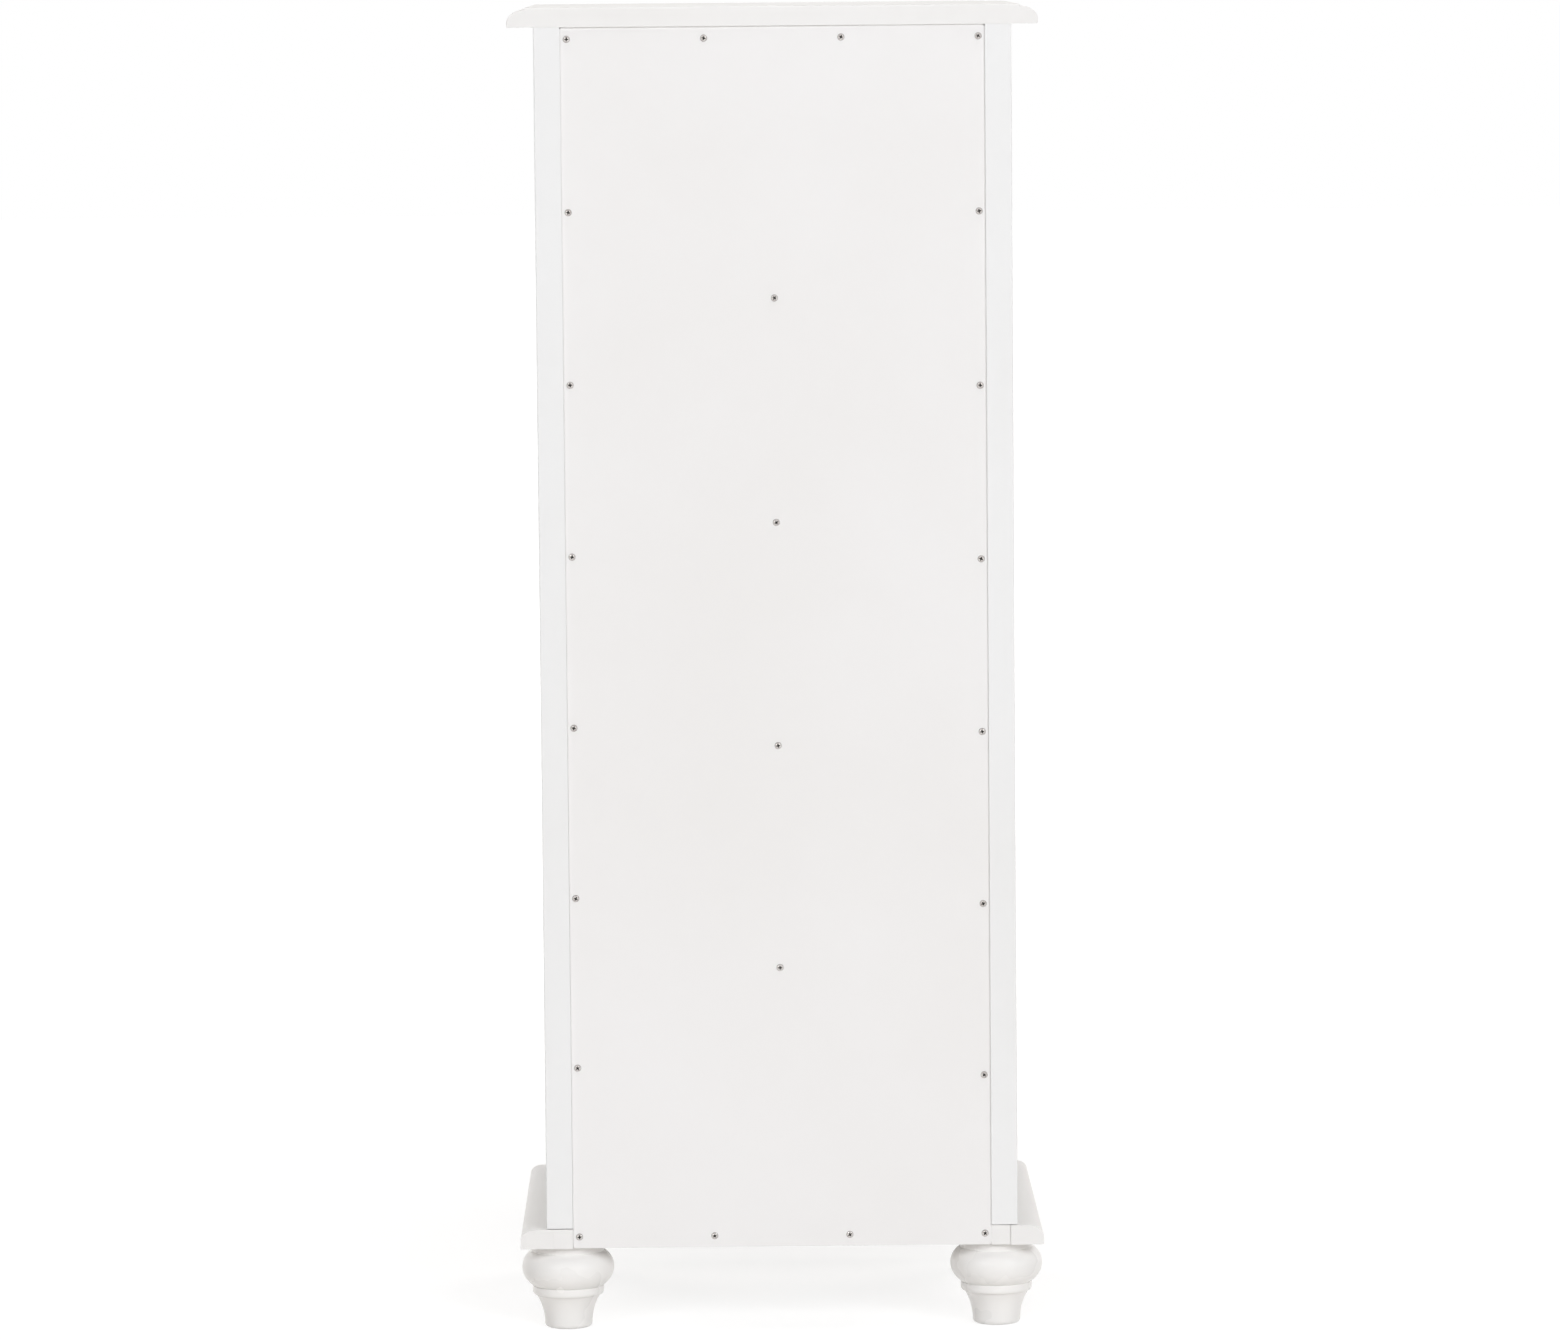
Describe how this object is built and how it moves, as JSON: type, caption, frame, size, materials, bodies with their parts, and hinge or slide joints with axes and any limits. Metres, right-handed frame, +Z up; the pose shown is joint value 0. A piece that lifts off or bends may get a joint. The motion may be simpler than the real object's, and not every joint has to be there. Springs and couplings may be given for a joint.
{
  "type": "tall chest of drawers",
  "caption": "Tall, narrow chest with a column of equal drawers, a moulded top and base, a screwed-on back panel and turned bun feet, painted white.",
  "frame": {"origin": "on the floor, under the centre of the chest's bounding box", "axes": "+Z is up, the drawers open towards -Y, and the back panel faces +Y; +X is to the right of someone who stands before the drawers"},
  "size_m": [0.508, 0.4186, 1.2837],
  "materials": {
    "white_paint": "wood painted white, satin",
    "panel_paint": "thin board painted white, low satin",
    "drawer_wood": "pale solid wood, clear matt lacquer",
    "drawer_ply": "plywood, unfinished",
    "runner_wood": "planed hardwood, waxed",
    "knob_nickel": "satin nickel"
  },
  "bodies": {
    "case": {"top_board": "white_paint", "base_board": "white_paint", "base_moulding_front": "white_paint", "base_moulding_left": "white_paint", "base_moulding_right": "white_paint", "foot_front_left": "white_paint", "foot_rear_left": "white_paint", "foot_front_right": "white_paint", "foot_rear_right": "white_paint", "front_post_left": "white_paint", "front_post_right": "white_paint", "rear_post_left": "white_paint", "rear_post_right": "white_paint", "side_panel_left": "white_paint", "side_panel_right": "white_paint", "back_panel": "panel_paint", "top_front_rail": "white_paint", "bottom_front_rail": "white_paint", "rear_top_rail": "white_paint", "divider_1": "white_paint", "divider_2": "white_paint", "divider_3": "white_paint", "divider_4": "white_paint", "runner_1": "runner_wood", "runner_2": "runner_wood", "runner_3": "runner_wood", "runner_4": "runner_wood", "runner_5": "runner_wood"},
    "drawer_1": {"drawer_1_front": "white_paint", "drawer_1_side_left": "drawer_wood", "drawer_1_side_right": "drawer_wood", "drawer_1_back": "drawer_wood", "drawer_1_bottom": "drawer_ply", "drawer_1_knob": "knob_nickel"},
    "drawer_2": {"drawer_2_front": "white_paint", "drawer_2_side_left": "drawer_wood", "drawer_2_side_right": "drawer_wood", "drawer_2_back": "drawer_wood", "drawer_2_bottom": "drawer_ply", "drawer_2_knob": "knob_nickel"},
    "drawer_3": {"drawer_3_front": "white_paint", "drawer_3_side_left": "drawer_wood", "drawer_3_side_right": "drawer_wood", "drawer_3_back": "drawer_wood", "drawer_3_bottom": "drawer_ply", "drawer_3_knob": "knob_nickel"},
    "drawer_4": {"drawer_4_front": "white_paint", "drawer_4_side_left": "drawer_wood", "drawer_4_side_right": "drawer_wood", "drawer_4_back": "drawer_wood", "drawer_4_bottom": "drawer_ply", "drawer_4_knob": "knob_nickel"},
    "drawer_5": {"drawer_5_front": "white_paint", "drawer_5_side_left": "drawer_wood", "drawer_5_side_right": "drawer_wood", "drawer_5_back": "drawer_wood", "drawer_5_bottom": "drawer_ply", "drawer_5_knob": "knob_nickel"}
  },
  "joints": [
    {"name": "drawer_1_slide", "type": "slide", "parent": "case", "child": "drawer_1", "axis": [0, -1, 0], "range_m": [0, 0.28]},
    {"name": "drawer_2_slide", "type": "slide", "parent": "case", "child": "drawer_2", "axis": [0, -1, 0], "range_m": [0, 0.28]},
    {"name": "drawer_3_slide", "type": "slide", "parent": "case", "child": "drawer_3", "axis": [0, -1, 0], "range_m": [0, 0.28]},
    {"name": "drawer_4_slide", "type": "slide", "parent": "case", "child": "drawer_4", "axis": [0, -1, 0], "range_m": [0, 0.28]},
    {"name": "drawer_5_slide", "type": "slide", "parent": "case", "child": "drawer_5", "axis": [0, -1, 0], "range_m": [0, 0.28]}
  ]
}
